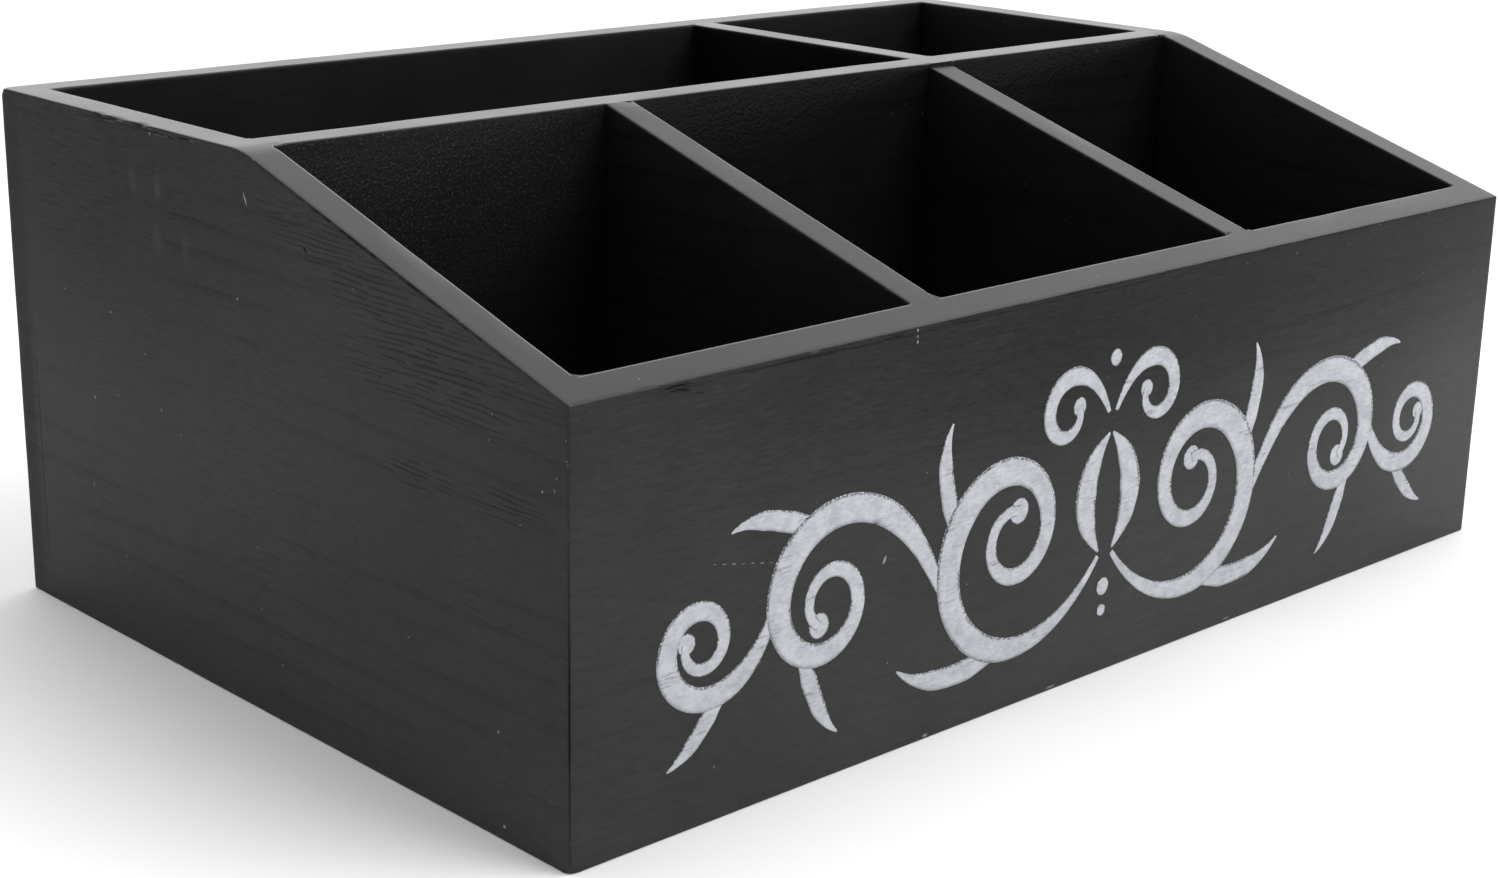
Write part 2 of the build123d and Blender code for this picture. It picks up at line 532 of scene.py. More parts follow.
front_rows = [
    # nicks under the top edge
    (0.3, -79.3, 111.2, 0.4, 0.6),
    (0.2, -79.3, 109.6, 0.35, 0.5),
    (0.3, -79.2, 108.2, 0.4, 0.6),
    # specks
    (0.25, -88.3, 53.5, 0.6, 1.6, 25),
    (0.2, -70.6, 1.0, 1.5, 0.6),
    (0.15, -20.0, 1.0, 2.5, 0.5),
    (0.12, 60.0, 1.2, 2.0, 0.5),
    # painted shade at the near corner and towards the top, painted light at the foot and towards the right
    (-0.03, -190, 40, 0.8, 62),  # the near corner
    (0.007, 0, -8, 300, 62),  # paler at the foot
    (0.012, 190, 45, 75, 65),  # and towards the right
    (-0.024, 70, 112, 330, 70),  # darker towards the top
]
scratch_start, scratch_end, scratch_dots = (-146.1, 65.6), (-121.6, 60.7), 9
for dot in range(scratch_dots):
    share = dot / (scratch_dots - 1)
    x = scratch_start[0] + (scratch_end[0] - scratch_start[0]) * share
    z = scratch_start[1] + (scratch_end[1] - scratch_start[1]) * share
    front_rows.append((0.07 + 0.06 * (dot % 3), x, z, 0.9, 0.25, 11))
front_marks = marks_on(on_front, front_rows)
front_gouges = [
    on_front(-80, 110.6, 112, 0.7),
    on_front(-159.5, 110.9, 7.0, 0.7, 7),
    on_front(-157.0, 109.6, 6.0, 0.6, 7),
    on_front(-154.0, 108.5, 5.0, 0.5, 7),
]
# The front's black was matched in the same way, so its lighter black is painted light.
front_paint = satin_black(
    "front_paint", "x", (0, -95, -60), 1.21, 0.36, black=0.026, ridges=0.035, lines=0.14, groove_shading=0.1,
    marks=front_marks, gouges=front_gouges,
)
right_paint = satin_black("right_paint", "y", (240, 40, 190), 1.25, 0.38, black=0.012, lines=0.6)
back_paint = satin_black("back_paint", "x", (0, 70, 190), 1.32, 0.36, lines=0.6)
print("front:", len(front_marks), "marks and", len(front_gouges), "gouges")

# %% [markdown]
# Inside, the paint was sprayed, which leaves a fine speckle like the skin of an orange, and a haze where it
# fell most. The tops of all boards share one paint. They were sanded together after the box was glued, so
# they are smoother than the faces, and no joint shows in them. Along the edges that were eased most, the
# paint
# of the tops draws a fine light line: a painted highlight of the light that a rounded edge catches.

# %% Paint of the inner faces and the tops
overspray = [((-140, 2, 145), (110, 6, 62), (0, 0, 0), 0.017)]
top_paint = satin_black(
    "top_paint", "x", (0, 0, -400), 1.315, 0.31, ridges=0.01, lines=0.0, speckle=0.015, wear_and_highlight=0.12
)
# The blacks of the inner boards below were matched to how bright each one looks in the box; their differences
# are painted light and shade.
bottom_paint = satin_black("bottom_paint", "x", (0, 30, 60), 1.3, 0.4)
middle_paint = satin_black(
    "middle_paint", "x", (0, 60, -30), 1.17, 0.25, black=0.006, speckle=0.14, mist=overspray
)
corner_coat = satin_black("corner_coat", "x", (0, 60, -30), 1.12, 0.5, black=0.004, ridges=0.02)
rear_divider_paint = satin_black(
    "rear_divider_paint", "y", (110, 0, 60), 1.16, 0.34, black=0.005, speckle=0.05
)
left_divider_paint = satin_black(
    "left_divider_paint", "y", (-120, 0, -20), 1.3, 0.34, black=0.013, speckle=0.05
)
right_divider_paint = satin_black(
    "right_divider_paint", "y", (130, 0, 150), 1.3, 0.34, black=0.011, speckle=0.05
)
print("paints:", len([m for m in bpy.data.materials if m.name.endswith("_paint")]))

# %% [markdown]
# ## The boards
# The real boards are planed softwood, sawn to size. The CAD model gives the exact box of each one. A board
# starts as a cube of its node's size, in millimetres. The plane of the slope then cuts its top off. That
# plane runs from the top of the front panel to the front of the middle divider. One board was set a little
# low, so its top is cut along a plane of its own.

# %% A block of wood
slope_up = Vector((0, -sin(slope_angle), cos(slope_angle)))
axes = [Vector((1, 0, 0)), Vector((0, 1, 0)), Vector((0, 0, 1))]
under_slope = 100  # all tops but the bottom board's lie above this
close = 0.01  # places that are nearer than this are taken as one


def only(parts, kind):
    """The corners, edges or faces among the parts that an operator returns."""
    return [part for part in parts if isinstance(part, kind)]


def cut(shape, place, facing, open_top=False):
    """Cuts a shape by a plane. With open_top, what lies above is taken off and the cut is closed."""
    parts = shape.verts[:] + shape.edges[:] + shape.faces[:]
    done = bmesh.ops.bisect_plane(
        shape, geom=parts, dist=0.001, plane_co=place, plane_no=facing, clear_outer=open_top
    )
    rim = only(done["geom_cut"], bmesh.types.BMEdge)
    if open_top and rim:
        bmesh.ops.edgeloop_fill(shape, edges=rim)


def corners_of(node):
    """The lowest and highest corner of a node's box in millimetres."""
    return [1000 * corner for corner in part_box(node)]


def block(node, low_foot=0.0, low_head=0.0):
    """A node's box as a plain block, cut along the slope or that much lower at the slope's two ends."""
    low, high = corners_of(node)
    if high.z > under_slope:
        high.z = slope_head.z
    shape = bmesh.new()
    bmesh.ops.create_cube(shape, size=1, matrix=Matrix.LocRotScale((low + high) / 2, None, high - low))
    foot, head = slope_foot - axes[2] * low_foot, slope_head - axes[2] * low_head
    cut(shape, head, axes[0].cross(head - foot).normalized(), open_top=True)
    bmesh.ops.recalc_face_normals(shape, faces=shape.faces[:])
    return shape


print("slope in degrees:", round(degrees(slope_angle), 2))

# %% [markdown]
# The two sides turn from the level top into the slope with a soft bend, which the other boards lack. It is a
# wide bevel of the one edge between the two tops. The outline then has many corners, and a face with many
# corners can't be divided evenly. So the side is cut straight down at each of them, which leaves only
# faces with four corners.

# %% The bend of a side
bend_round = 30
bend_reach = bend_round * tan(slope_angle / 2)
bend_steps = 6


def bend_top(shape):
    """Rounds the edge where the level top turns into the slope."""
    turns = [
        edge
        for edge in shape.edges
        if all(abs(end.co.y - slope_head.y) < close and end.co.z > slope_head.z - 1 for end in edge.verts)
    ]
    bmesh.ops.bevel(
        shape, geom=turns, offset=bend_reach, affect="EDGES", segments=bend_steps, profile=0.5, material=-1
    )
    for y in sorted({round(corner.co.y, 3) for corner in shape.verts})[1:-1]:
        cut(shape, Vector((0, y, 0)), axes[1])


print("the bend starts", round(bend_reach, 2), "mm before the corner")

# %% [markdown]
# A board shows its age at its free edges: they were eased with sandpaper, and the paint softened them again.
# Where two boards meet there is no such edge, because the joint was filled and painted over. So each board
# first finds where its neighbours touch it. It is cut along the outlines of those places, and the pieces
# of edge that lie in them stay sharp and flush. A second cut just inside each outline keeps the end of an
# eased edge short.

# %% Where boards touch
joint_rim = 0.35  # from a joint's outline to the second cut
joint_reach = 0.4  # a place is in a joint up to this far outside its outline
least_overlap = 0.1
cut_spacing = 1.5  # no cut is made nearer to a corner
boards = [
    "front_panel", "back_panel", "left_side_panel", "right_side_panel", "bottom_panel",
    "middle_divider", "rear_divider", "left_front_divider", "right_front_divider",
]


def contacts_of(node):
    """Where other boards touch this one: the axis across the joint, its plane and the other's box."""
    low, high = corners_of(node)
    found = []
    for other in boards:
        other_low, other_high = corners_of(other)
        for axis in range(3):
            beside = [k for k in range(3) if k != axis]
            shared = [min(high[k], other_high[k]) - max(low[k], other_low[k]) for k in beside]
            for plane, other_plane in ((low[axis], other_high[axis]), (high[axis], other_low[axis])):
                if other != node and min(shared) > least_overlap and abs(plane - other_plane) < close:
                    found.append((axis, plane, other_low, other_high))
    return found


def touches(place, contact):
    """Whether a place lies in a joint."""
    axis, plane, low, high = contact
    inside = all(low[k] - joint_reach < place[k] < high[k] + joint_reach for k in range(3) if k != axis)
    return inside and abs(place[axis] - plane) < close


def outline_contacts(shape, contacts):
    """Cuts a shape along the outlines of the places where other boards touch it, and just inside them."""
    for axis, plane, low, high in contacts:
        for k in range(3):
            for place, inward in ((low[k], joint_rim), (high[k], -joint_rim)):
                nearest = min(abs(corner.co[k] - place) for corner in shape.verts)
                if k != axis and nearest > cut_spacing:
                    cut(shape, axes[k] * place, axes[k])
                    cut(shape, axes[k] * (place + inward), axes[k])


print("joints of the middle divider:", len(contacts_of("middle_divider")))

# %% [markdown]
# A bevel eases the free edges. Smooth shading would smear its light across the whole face next to it, so
# guard cuts come first, just inside every face, and keep the smear in a narrow strip. Under the top they
# go strip by strip, so that they follow the slope and the bend. Round the compartments, the edges over a wall
# that faces right or back were eased most. Edges in a joint are marked sharp instead. The new faces of the
# bevels get the value worn, which the paint reads.

# %% Eased edges
outer_ease = 0.4
near_ease = 0.55
far_ease = 1.1
guard = 1.5
outer_x, outer_y, outer_z = 189.9, 125.9, 10  # an outer edge lies beyond the first two or below the last
squarely = 0.9
flat_enough = radians(10)


def guard_cuts(shape, low, high):
    """Cuts a shape just inside its upright faces, its underside and its top."""
    for place in (low + Vector((guard, guard, guard)), high - Vector((guard, guard, 0))):
        for axis in range(3):
            if low[axis] < place[axis] < high[axis]:
                cut(shape, axes[axis] * place[axis], axes[axis])
    tops = {}
    for corner in shape.verts:
        y = round(corner.co.y, 3)
        tops[y] = max(tops.get(y, 0), corner.co.z)
    outline = sorted(tops.items())
    for (y, z), (next_y, next_z) in zip(outline, outline[1:]):
        strip = [
            face
            for face in shape.faces
            if all(y - close < corner.co.y < next_y + close for corner in face.verts)
        ]
        parts = list(dict.fromkeys(part for face in strip for part in (face, *face.edges, *face.verts)))
        facing = Vector((0, z - next_z, next_y - y)).normalized()
        bmesh.ops.bisect_plane(shape, geom=parts, dist=0.001, plane_co=(0, y, z - guard), plane_no=facing)


def ease(shape, contacts):
    """Bevels the free edges, and marks those in a joint as sharp."""
    outer, near, far = [], [], []
    for edge in shape.edges:
        if edge.calc_face_angle(0) > flat_enough:
            middle = (edge.verts[0].co + edge.verts[1].co) / 2
            if any(touches(middle, contact) for contact in contacts):
                edge.smooth = False
            elif abs(middle.x) > outer_x or abs(middle.y) > outer_y or middle.z < outer_z:
                outer.append(edge)
            elif max(side for face in edge.link_faces for side in face.normal.xy) > squarely:
                far.append(edge)
            else:
                near.append(edge)
    worn = shape.verts.layers.float.new("worn")
    eases = ((outer, outer_ease, eased_wear), (near, near_ease, eased_wear), (far, far_ease, highlight_edge_wear))
    for edges, width, wear in eases:
        if edges:
            done = bmesh.ops.bevel(
                shape, geom=edges, offset=width, affect="EDGES", segments=3, profile=0.5, material=-1
            )
            for face in done["faces"]:
                for corner in face.verts:
                    corner[worn] = wear


print("free edges are eased by", outer_ease, "mm outside,", near_ease, "and", far_ease, "mm inside")

# %% [markdown]
# Real boards are never quite flat. Planing and sanding leave swells of a tenth of a millimetre, and satin
# paint shows them. Edges sanded by hand also wander a little. A displacement texture would do, but then the
# board could grow out of its exact box. So the faces are divided to a net and each point only ever sinks.
# The noise depends on the place alone, so two boards that meet stay flush.

# %% Unevenness
net_step = 3.2
long_edge = 1.6  # in steps: longer edges are divided
mostly = 0.8
sink = 0.12
least_sink = 0.02
least_way = 0.1  # a point with less than this of its direction left stays where it is
swell, swell_size = 0.05, 38
ripple, ripple_size = 0.025, 9
wander, wander_size = 0.16, 24


def divide(shape):
    """Divides the long edges of a shape along each axis. Edges that start level get as many cuts."""
    for axis in range(3):
        starts, lengths = {}, {}
        for edge in shape.edges:
            span = edge.verts[1].co - edge.verts[0].co
            if abs(span[axis]) > max(long_edge * net_step, mostly * span.length):
                start = round(min(end.co[axis] for end in edge.verts))
                starts.setdefault(start, []).append(edge)
                lengths[start] = max(lengths.get(start, 0), abs(span[axis]))
        for start, edges in starts.items():
            steps = round(lengths[start] / net_step)
            bmesh.ops.subdivide_edges(shape, edges=edges, cuts=steps - 1, use_grid_fill=True)


def roughen(shape, contacts):
    """Sinks each point by a little noise, and never towards a joint."""
    shape.normal_update()
    worn = shape.verts.layers.float["worn"]
    moves = []
    for corner in shape.verts:
        inward = -corner.normal
        for contact in contacts:
            if touches(corner.co, contact):
                inward[contact[0]] = 0
        if inward.length > least_way:
            depth = sink + swell * noise.noise(corner.co / swell_size)
            depth += ripple * noise.noise(corner.co / ripple_size)
            depth += wander * corner[worn] * max(0, noise.noise(corner.co / wander_size))
            moves.append((corner, inward.normalized() * max(depth, least_sink)))
    for corner, move in moves:
        corner.co += move


print("faces sink", round(sink - swell - ripple, 3), "to", round(sink + swell + ripple, 3), "mm")

# %% [markdown]
# A box that has been handled has dents. For one, the net is divided finer around a place, and the points
# there are pushed in with a soft falloff. The same call with a stretched reach makes the split slivers under
# the front's top edge.

# %% Dents
dent_rounds = 4
dent_margin = 1.6  # the net is divided this far out, in half sizes of the dent
coarse = 0.7  # an edge that is longer than this many half sizes is divided


def dent(shape, place, reach, push):
    """Pushes a shape in around a place. The reach is the half size of the dent along each axis."""
    place, reach, push = Vector(place), Vector(reach), Vector(push)

    def measured(span):
        return Vector([span[k] / reach[k] for k in range(3)])

    for _ in range(dent_rounds):
        near = [
            edge
            for edge in shape.edges
            if min(measured(end.co - place).length for end in edge.verts) < dent_margin
            and max(abs(side) for side in measured(edge.verts[1].co - edge.verts[0].co)) > coarse
        ]
        if near:
            bmesh.ops.subdivide_edges(shape, edges=near, cuts=1, use_grid_fill=True)
    for corner in shape.verts:
        share = measured(corner.co - place).length
        if share < 1:
            corner.co += push * (1 - share * share) ** 2


print("in the middle of a dent the net is up to", 2 ** dent_rounds, "times as fine")

# %% [markdown]
# A finished piece is shrunk from millimetres to metres and becomes an object at the origin. It rides on the
# CAD body and stands for the node that it replaces. Its upright faces have the board's own paint, and what
# looks up has the paint of the tops. The ends of the front and back boards look like the sides that they
# run on from, so they get the paint of that side.

# %% Hand a piece over
clearly = 0.6  # the least share of a face's direction that lies along an axis


def hand_over(name, shape, paints, stands_for=()):
    """Makes an object of a shape in millimetres, sets it on the root body and hides the nodes that it stands
    for.
    """
    bmesh.ops.recalc_face_normals(shape, faces=shape.faces[:])
    bmesh.ops.scale(shape, vec=(0.001, 0.001, 0.001), verts=shape.verts[:])
    for face in shape.faces:
        face.smooth = True
    mesh = bpy.data.meshes.new(name)
    shape.to_mesh(mesh)
    shape.free()
    for paint in paints:
        mesh.materials.append(paint)
    piece = bpy.data.objects.new(name, mesh)
    bpy.context.collection.objects.link(piece)
    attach(piece, "root")
    if stands_for:
        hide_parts(*stands_for)
    print(name, "has", len(mesh.polygons), "faces")


def choose_paints(shape, has_end_grain):
    """Numbers the paints of the faces: 0 the board's own, 1 the tops', 2 and 3 the left and right ends'."""
    shape.normal_update()
    for face in shape.faces:
        if face.normal.z > clearly:
            face.material_index = 1
        elif has_end_grain and abs(face.normal.x) > clearly:
            face.material_index = 2 if face.normal.x < 0 else 3


print("what leans less than", round(degrees(acos(clearly))), "degrees from level gets the paint of the tops")

# %% [markdown]
# What differs from board to board is in a few tables: whose paint is whose, which top was set a little low,
# and where the dents are. The filler over the sunk nails was sanded flush and painted with the front, so the
# front board stands for it too. The slits under the front's top edge are splinters that lifted when the slope
# was sawn. A dent is a place, its half sizes and its push.

# %% Tables of the boards
own_paints = {
    "front_panel": front_paint,
    "back_panel": back_paint,
    "left_side_panel": left_paint,
    "right_side_panel": right_paint,
    "bottom_panel": bottom_paint,
    "middle_divider": middle_paint,
    "rear_divider": rear_divider_paint,
    "left_front_divider": left_divider_paint,
    "right_front_divider": right_divider_paint,
}
stand_ins = {"front_panel": ["front_panel", "filler_plugs"]}
low_ends = {"right_front_divider": (0.4, 1.1)}
dents = {
    "front_panel": [
        ((-168, -126.0, 112.3), (4.0, 1.4, 1.3), (0, 0.3, -0.15)),
        ((-158, -126.0, 110.9), (9.0, 3.0, 0.4), (0, 0.4, 0)),
        ((-161, -126.0, 109.8), (6.0, 3.0, 0.35), (0, 0.3, 0)),
        ((-152, -126.0, 109.9), (6.0, 3.0, 0.35), (0, 0.3, 0)),
        ((-148, -126.0, 111.4), (7.0, 3.0, 0.35), (0, 0.3, 0)),
        ((-190, -126, 0), (2.4, 2.4, 2.4), (0.5, 0.5, 0.5)),
    ],
    "left_side_panel": [
        ((-190.0, 49, 149.9), (1.5, 3.5, 1.3), (0.6, 0, -0.4)),
        ((-190.0, 61, 149.9), (1.5, 5.0, 1.3), (0.6, 0, -0.4)),
        ((-190.0, 71, 149.9), (1.5, 3.0, 1.3), (0.6, 0, -0.4)),
        ((-190.0, 40, 148.3), (3.0, 7.0, 0.4), (0.9, 0, 0)),
        ((-190.0, 27, 148.8), (3.0, 5.0, 0.4), (0.9, 0, 0)),
        ((-190.0, 66, 148.6), (3.0, 4.0, 0.4), (0.8, 0, 0)),
    ],
    "left_front_divider": [((-64.0, 2.0, 149.9), (1.5, 0.8, 1.6), (0, 0, -1.6))],
    "right_front_divider": [
        ((62.4, -115.5, 114.6), (1.8, 1.2, 1.6), (0, 0, -1.4)),
        ((70.2, -115.5, 114.6), (2.2, 1.2, 1.6), (0, 0, -1.4)),
        ((71.5, 2.0, 148.8), (2.4, 1.2, 1.2), (0, 0, -0.8)),
    ],
    "middle_divider": [
        ((-179.5, 2.6, 150.0), (4.0, 3.4, 1.4), (0, 0, -0.32)),
        ((179.5, 2.6, 150.0), (4.0, 3.4, 1.4), (0, 0, -0.32)),
    ],
    "back_panel": [((-190, 126, 150), (2.2, 2.2, 2.2), (0.4, -0.4, -0.35))],
}
print("dents:", sum(len(places) for places in dents.values()), "on", len(dents), "boards")

# %% [markdown]
# Now the nine boards are made, all by the same steps. Their order matters: the cuts along the joints come
# before the bevels, because a bevel must end where a joint starts, and the net comes after them, so that it
# runs through the bevels too.

# %% All nine boards
for node in boards:
    low, high = corners_of(node)
    contacts = contacts_of(node)
    shape = block(node, *low_ends.get(node, (0, 0)))
    if node in ("left_side_panel", "right_side_panel"):
        bend_top(shape)
    outline_contacts(shape, contacts)
    guard_cuts(shape, low, high)
    ease(shape, contacts)
    divide(shape)
    roughen(shape, contacts)
    for place, reach, push in dents.get(node, []):
        dent(shape, place, reach, push)
    has_end_grain = node in ("front_panel", "back_panel")
    choose_paints(shape, has_end_grain)
    paints = [own_paints[node], top_paint] + [left_paint, right_paint] * has_end_grain
    hand_over(node + "_board", shape, paints, stand_ins.get(node, [node]))

# %% [markdown]
# ## The white scroll
# The front carries a painted scroll: three curls on each side of a coffee bean, a smaller pair over it, and
# leaves between them, all in worn white. A flat picture could hold it, but strokes keep their edges sharp
# from near by, and their thickness catches the light. A stroke of the brush is a short row of points that is
# pushed forward, turned and widened step by step. Its bends are in degrees for each millimetre and its widths
# in millimetres, evenly spaced along it.

# %% Brush strokes
brush_row = (-0.5, -0.33, 0, 0.33, 0.5)
brush_step = 1.0


def along(values, share):
    """A value between evenly spaced ones, at a share of the way."""
    place = share * (len(values) - 1)
    first = min(int(place), len(values) - 2)
    return values[first] + (values[first + 1] - values[first]) * (place - first)


def brush_path(start, heading, length, bends, widths):
    """The brush's centre, heading in degrees and width at each step of a stroke."""
    steps = round(length / brush_step)
    x, z = start
    path = [(x, z, heading, widths[0])]
    for step in range(steps):
        turn = along(bends, (step + 0.5) / steps) * length / steps
        ahead = radians(heading + turn / 2)
        x += cos(ahead) * length / steps
        z += sin(ahead) * length / steps
        heading += turn
        path.append((x, z, heading, along(widths, (step + 1) / steps)))
    return path


def branch(stroke, share, turn):
    """Where a side stroke leaves another one, and its heading."""
    path = brush_path(*stroke)
    x, z, heading, width = path[round(share * (len(path) - 1))]
    return (x, z), heading + turn


print("one brush row has", len(brush_row), "points")

# %% [markdown]
# A stroke is its start, its heading and its length, then its bends and its widths. Each one starts on the one
# before it, so the whole grows from the stem at the middle like a vine. Only the right half is drawn.

# %% The scroll's strokes
stem = ((3, 35), -52, 196, (0.9, 2.0, 2.4, 3.9, 7.4), (1.6, 7.2, 9.4, 6.0, 3.0))
second_curl = (*branch(stem, 0.335, 0), 174, (0.8, -1.6, -2.9, -4.6, -8.6), (1.6, 7.2, 8.8, 5.4, 2.8))
third_curl = (*branch(second_curl, 0.52, 0), 106, (0.2, 2.9, 4.9, 7.0, 11.0), (1.6, 6.2, 6.6, 4.4, 2.6))
crown_curl = ((1.5, 76), 62, 58, (-0.6, -5.0, -7.4, -11.5), (1.4, 5.4, 4.8, 2.4))
bean_half = ((0.7, 70), -44, 38, (-0.8, -2.6, -2.9, -2.6, -0.8), (0.8, 6.6, 8.8, 6.6, 0.8))
leaves = [
    (*branch(stem, 0.22, -10), 44, (-1.0, 0.6, 1.6, 2.4), (1.0, 6.4, 5.6, 0.6)),
    (*branch(stem, 0.46, -16), 34, (-2.4, -0.4, 2.2, 3.6), (1.0, 5.8, 5.2, 0.6)),
    (*branch(second_curl, 0.40, 14), 32, (2.4, 0.8, -2.0, -3.4), (1.0, 5.6, 5.0, 0.6)),
    (*branch(second_curl, 0.64, 14), 30, (2.4, 0.6, -1.8, -3.4), (1.0, 5.4, 4.8, 0.6)),
    (*branch(third_curl, 0.27, -14), 26, (-2.2, -0.6, 2.0, 3.2), (1.0, 5.0, 4.4, 0.6)),
]
curls = [(stem, 3.6), (second_curl, 3.4), (third_curl, 2.8), (crown_curl, 2.6)]
strokes = [stroke for stroke, ball in curls] + [bean_half] + leaves
balls = [(*brush_path(*stroke)[-1][:2], ball) for stroke, ball in curls]
centre_balls = [(0, 91, 2.4), (0, 25.5, 2.6), (0, 18.5, 1.8)]
print(len(strokes), "strokes on each side")

# %% [markdown]
# The row of points is extruded as a chain of edges. The sheet that it leaves then gets its thickness. Where
# strokes cross, each lies a few thousandths of a millimetre deeper than the last, so no two fight for the
# same place. The rim of a stroke carries the value worn, where the paint feathers out: most on its upper
# side.

# %% Paint the scroll
film_face = -125.99
film_depth = 0.3
layer_step = 0.003
lower_feather = 0.45
ball_rim = 0.45


def paint_stroke(shape, path, face, rim):
    """Sweeps the brush along a path and returns the sheet that it leaves."""
    x, z, heading, width = path[0]
    across = Matrix.Rotation(-radians(heading), 3, "Y") @ axes[2]
    row = [shape.verts.new(Vector((x, face, z)) + across * width * share) for share in brush_row]
    for corner, share in zip(row, brush_row):
        corner[rim] = float(abs(share) == 0.5)
    edges = [shape.edges.new(pair) for pair in zip(row, row[1:])]
    sheet = []
    for next_x, next_z, next_heading, next_width in path[1:]:
        grown = bmesh.ops.extrude_edge_only(shape, edges=edges)["geom"]
        row = only(grown, bmesh.types.BMVert)
        edges = [edge for edge in only(grown, bmesh.types.BMEdge) if all(end in row for end in edge.verts)]
        sheet += only(grown, bmesh.types.BMFace)
        centre = Matrix.Translation((x, face, z))
        turn = Matrix.Rotation(-radians(next_heading - heading), 3, "Y")
        wider = next_width / width
        bmesh.ops.rotate(shape, cent=centre.translation, matrix=turn, verts=row)
        bmesh.ops.scale(shape, vec=(wider, wider, wider), space=centre.inverted(), verts=row)
        bmesh.ops.translate(shape, vec=(next_x - x, 0, next_z - z), verts=row)
        x, z, heading, width = next_x, next_z, next_heading, next_width
        for corner in row:
            if corner[rim] > 0:
                corner[rim] = 1.0 if corner.co.z > z else lower_feather
    return sheet


def thicken(shape, sheet):
    """Makes a closed solid of a sheet: a copy of it is pushed back, and walls join the two."""
    grown = bmesh.ops.extrude_face_region(shape, geom=sheet, use_keep_orig=True)["geom"]
    bmesh.ops.translate(shape, vec=(0, film_depth, 0), verts=only(grown, bmesh.types.BMVert))


def paint_ball(shape, x, z, radius, face, rim):
    """A round blob of paint, with a finer ring just inside its rim."""
    upright_disc = Matrix.Translation((x, face, z)) @ Matrix.Rotation(pi / 2, 4, "X")
    corners = bmesh.ops.create_circle(
        shape, cap_ends=True, segments=40, radius=radius, matrix=upright_disc
    )["verts"]
    disc = corners[0].link_faces[0]
    for corner in corners:
        corner[rim] = 1
    ring = bmesh.ops.inset_individual(shape, faces=[disc], thickness=ball_rim)["faces"]
    for corner in disc.verts:
        corner[rim] = 0
    return ring + [disc]


scroll = bmesh.new()
rim = scroll.verts.layers.float.new("worn")
face = film_face
for stroke in strokes:
    thicken(scroll, paint_stroke(scroll, brush_path(*stroke), face, rim))
    face += layer_step
for x, z, radius in balls:
    thicken(scroll, paint_ball(scroll, x, z, radius, face, rim))
right_half = scroll.verts[:] + scroll.edges[:] + scroll.faces[:]
bmesh.ops.mirror(scroll, geom=right_half, axis="X", merge_dist=0.0)
for x, z, radius in centre_balls:
    thicken(scroll, paint_ball(scroll, x, z, radius, film_face, rim))
print("scroll mesh:", len(scroll.faces), "faces")

# %% [markdown]
# The white is a dry coat dabbed through a stencil, then rubbed down. It is a cool light grey with soft
# mottling. The grain of the board cuts fine dark lines into it, and dark specks feather its rims. The
# lines come from noise stretched along the grain and cut off high, so only its peaks are left.

# %% White paint
dull_white = (0.335, 0.347, 0.38, 1)
clear_white = (0.475, 0.486, 0.52, 1)
bare_black = (0.03, 0.03, 0.03, 1)

white_paint = bpy.data.materials.new("white_paint")
here = in_millimetres(bare_nodes(white_paint))
mottle = 0.5 * lumps(here, 5, 2) + 0.5 * lumps(stretched(here, (0.5, 1, 1)), 0.8, 2)
scratches = fade(lumps(stretched(here, (0.09, 1, 1)), 0.8, 2), 0.60, 0.70) * fade(lumps(here, 14), 0.45, 0.6)
speckles = fade(lumps(here, 0.7, 1), 0.38, 0.54)
edge = here.node("ShaderNodeAttribute", {"attribute_name": "worn"}, {}, "Fac")
feather = fade(edge + 0.8 * (lumps(here, 9) - 0.5), 0.15, 0.7) * speckles
wear_and_highlight = 0.8 * feather + 0.4 * scratches
white = blend(fade(mottle, 0.3, 0.7), dull_white, clear_white)
dress(
    white_paint,
    {"IOR": 1.4},
    {
        "Base Color": blend(wear_and_highlight, white, bare_black),
        "Roughness": 0.55 + 0.2 * mottle,
        "Normal": relief(0.05 * mottle - 0.06 * wear_and_highlight),
    },
)
hand_over("scroll_film", scroll, [white_paint])
print("white paint from", len(white_paint.node_tree.nodes), "nodes")

# %% [markdown]
# ## Paint in the corners
# Thick paint ran together in some upright inner corners and dried as a small hollow fillet. The two in front
# can be seen at the top of the front panel. A quarter turn of a point makes the hollow arc. A face between
# it and the corner, which reaches a little into the wood, is then pulled up and cut along the slope. Its top
# rim is eased as the boards' edges are. What that leaves above the level tops is cut off.

# %% Corner fillets
fillet_steps = 6
buried = 1.2
rim_ease = 1.0
fillet_floor = 5.5
fillet_top = 149.8
trim = 0.02  # how far the last cut stays above the level top
below_slope = 0.2
widest_fillet = 6


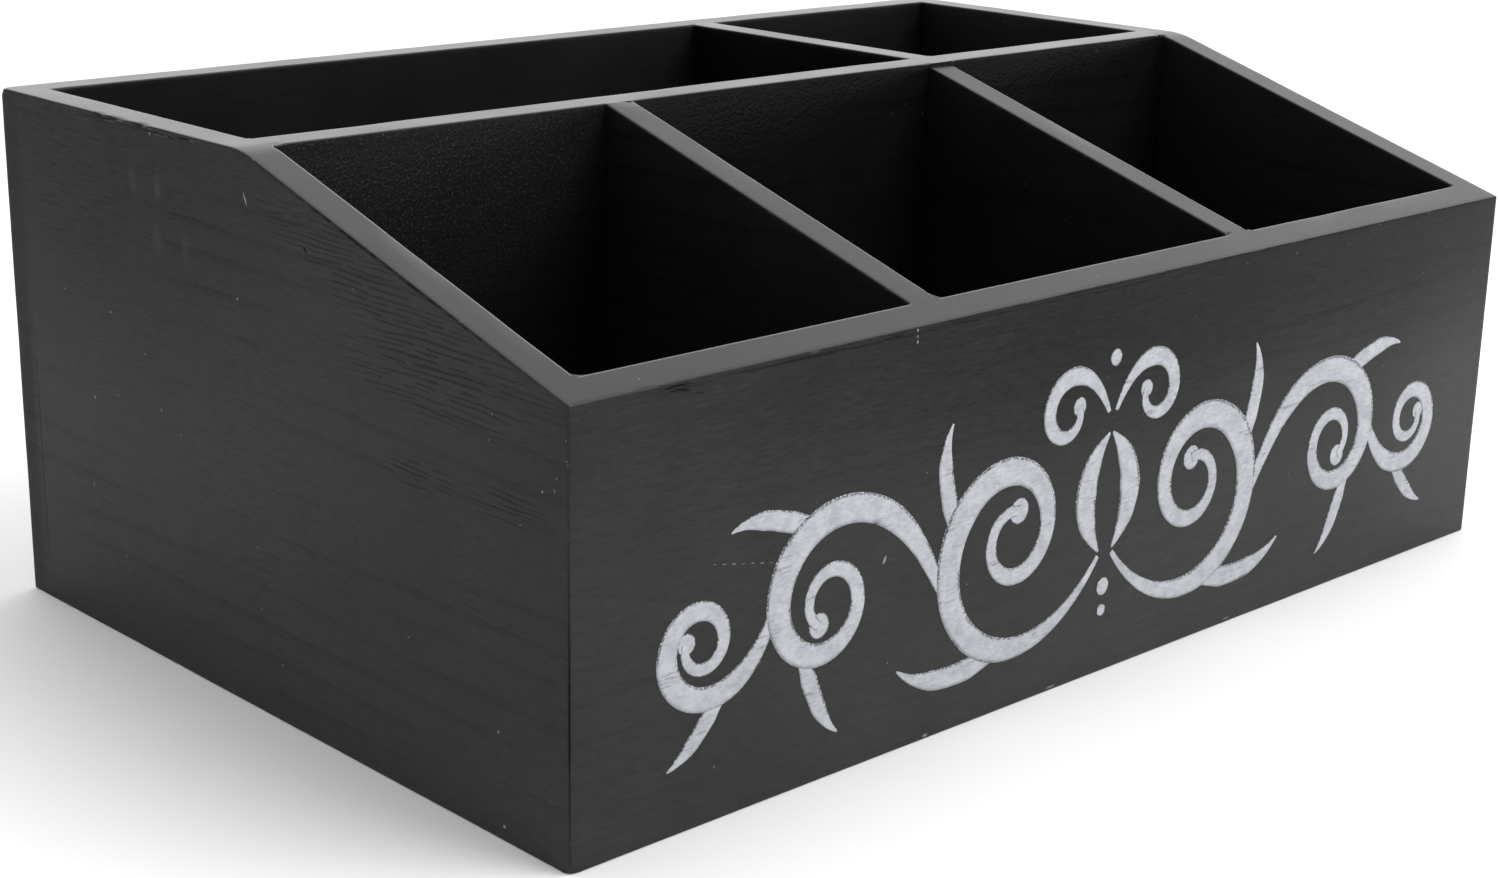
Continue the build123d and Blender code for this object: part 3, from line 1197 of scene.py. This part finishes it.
def corner_fillet(shape, x, y, side_x, side_y, radius, slim=1.0):
    """A hollow strip in the upright corner at x, y. The sides, 1 or -1, point away from it. A slim one is
    that much narrower along X."""
    known = set(shape.verts)
    first = shape.verts.new((x + side_x * radius, y, fillet_floor))
    hub = (x + side_x * radius, y + side_y * radius, fillet_floor)
    done = bmesh.ops.spin(
        shape, geom=[first], cent=hub, axis=axes[2], angle=-side_x * side_y * pi / 2, steps=fillet_steps
    )
    chain = [done["geom_last"][0]]
    for in_x, in_y in ((buried, -radius), (buried, buried), (-radius, buried)):
        chain.append(shape.verts.new((x - side_x * in_x, y - side_y * in_y, fillet_floor)))
    for pair in zip(chain, chain[1:] + [first]):
        shape.edges.new(pair)
    corners = [corner for corner in shape.verts if corner not in known]
    bmesh.ops.scale(shape, vec=(slim, 1, 1), space=Matrix.Translation((-x, -y, 0)), verts=corners)
    outline = list(dict.fromkeys(edge for corner in corners for edge in corner.link_edges))
    foot = bmesh.ops.edgeloop_fill(shape, edges=outline)["faces"]
    grown = bmesh.ops.extrude_face_region(shape, geom=foot, use_keep_orig=True)["geom"]
    top = only(grown, bmesh.types.BMVert)
    bmesh.ops.translate(shape, vec=(0, 0, fillet_top - fillet_floor), verts=top)


fillets = [
    (-179.5, -115.5, 1, 1, 1.8, 2.8),
    (-61.25, -115.5, 1, 1, 4.6, 0.45),
    (-71.75, 2, -1, -1, 0.6),
    (179.5, 2, -1, -1, 1.0),
    (-71.75, -115.5, -1, 1, 0.8),
    (179.5, -115.5, -1, 1, 1.2),
    (-179.5, 14, 1, 1, 1.0),
    (-179.5, 115.5, 1, -1, 0.8),
    (63.75, 14, -1, 1, 0.8),
    (63.75, 115.5, -1, -1, 0.8),
    (74.25, 115.5, 1, -1, 0.8),
    (179.5, 14, -1, 1, 0.9),
    (179.5, 115.5, -1, -1, 1.0),
]


def on_rim(edge):
    """Whether an edge is at the top of a hollow, in a compartment and not in the wood."""
    middle = (edge.verts[0].co + edge.verts[1].co) / 2
    free = any(
        -close < side_x * (middle.x - x) < widest_fillet and -close < side_y * (middle.y - y) < widest_fillet
        for x, y, side_x, side_y, *_ in fillets
    )
    return free and min(end.co.z for end in edge.verts) > under_slope


corner_paint = bmesh.new()
for fillet in fillets:
    corner_fillet(corner_paint, *fillet)
cut(corner_paint, slope_head - slope_up * below_slope, slope_up, open_top=True)
bmesh.ops.recalc_face_normals(corner_paint, faces=corner_paint.faces[:])
rims = [edge for edge in corner_paint.edges if on_rim(edge)]
bmesh.ops.bevel(
    corner_paint, geom=rims, offset=rim_ease, affect="EDGES", segments=3, profile=0.5, material=-1
)
cut(corner_paint, axes[2] * (fillet_top + trim), axes[2], open_top=True)
print(len(fillets), "fillets with", len(rims), "edges of rim")
choose_paints(corner_paint, False)
hand_over("corner_paint", corner_paint, [corner_coat, top_paint])

# %% [markdown]
# ## The nails
# The nails are sunk and hidden, but they are CAD nodes, and whoever opens the model sees them. Their shapes
# are right already, so they only get a material: wire with a thin coat of zinc, cloudy in colour, with fine
# lines drawn along it. Metal takes its colour from Base Color, and its dullness from Roughness.

# %% Steel of the brads
dull_zinc = (0.42, 0.43, 0.45, 1)
bright_zinc = (0.62, 0.63, 0.65, 1)

brad_steel = bpy.data.materials.new("brad_steel")
here = in_millimetres(bare_nodes(brad_steel))
zinc = lumps(here, 1.2, 2)
drawn = lumps(stretched(here, (1, 1, 0.1)), 0.3)
dress(
    brad_steel,
    {"Metallic": 1.0},
    {
        "Base Color": blend(zinc, dull_zinc, bright_zinc),
        "Roughness": 0.3 + 0.25 * zinc,
        "Normal": relief(0.01 * drawn),
    },
)
brads = [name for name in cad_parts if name.endswith("_brads")]
for name in brads:
    for material_slot in bpy.data.objects[name].material_slots:
        material_slot.material = brad_steel
print("brad groups:", len(brads))
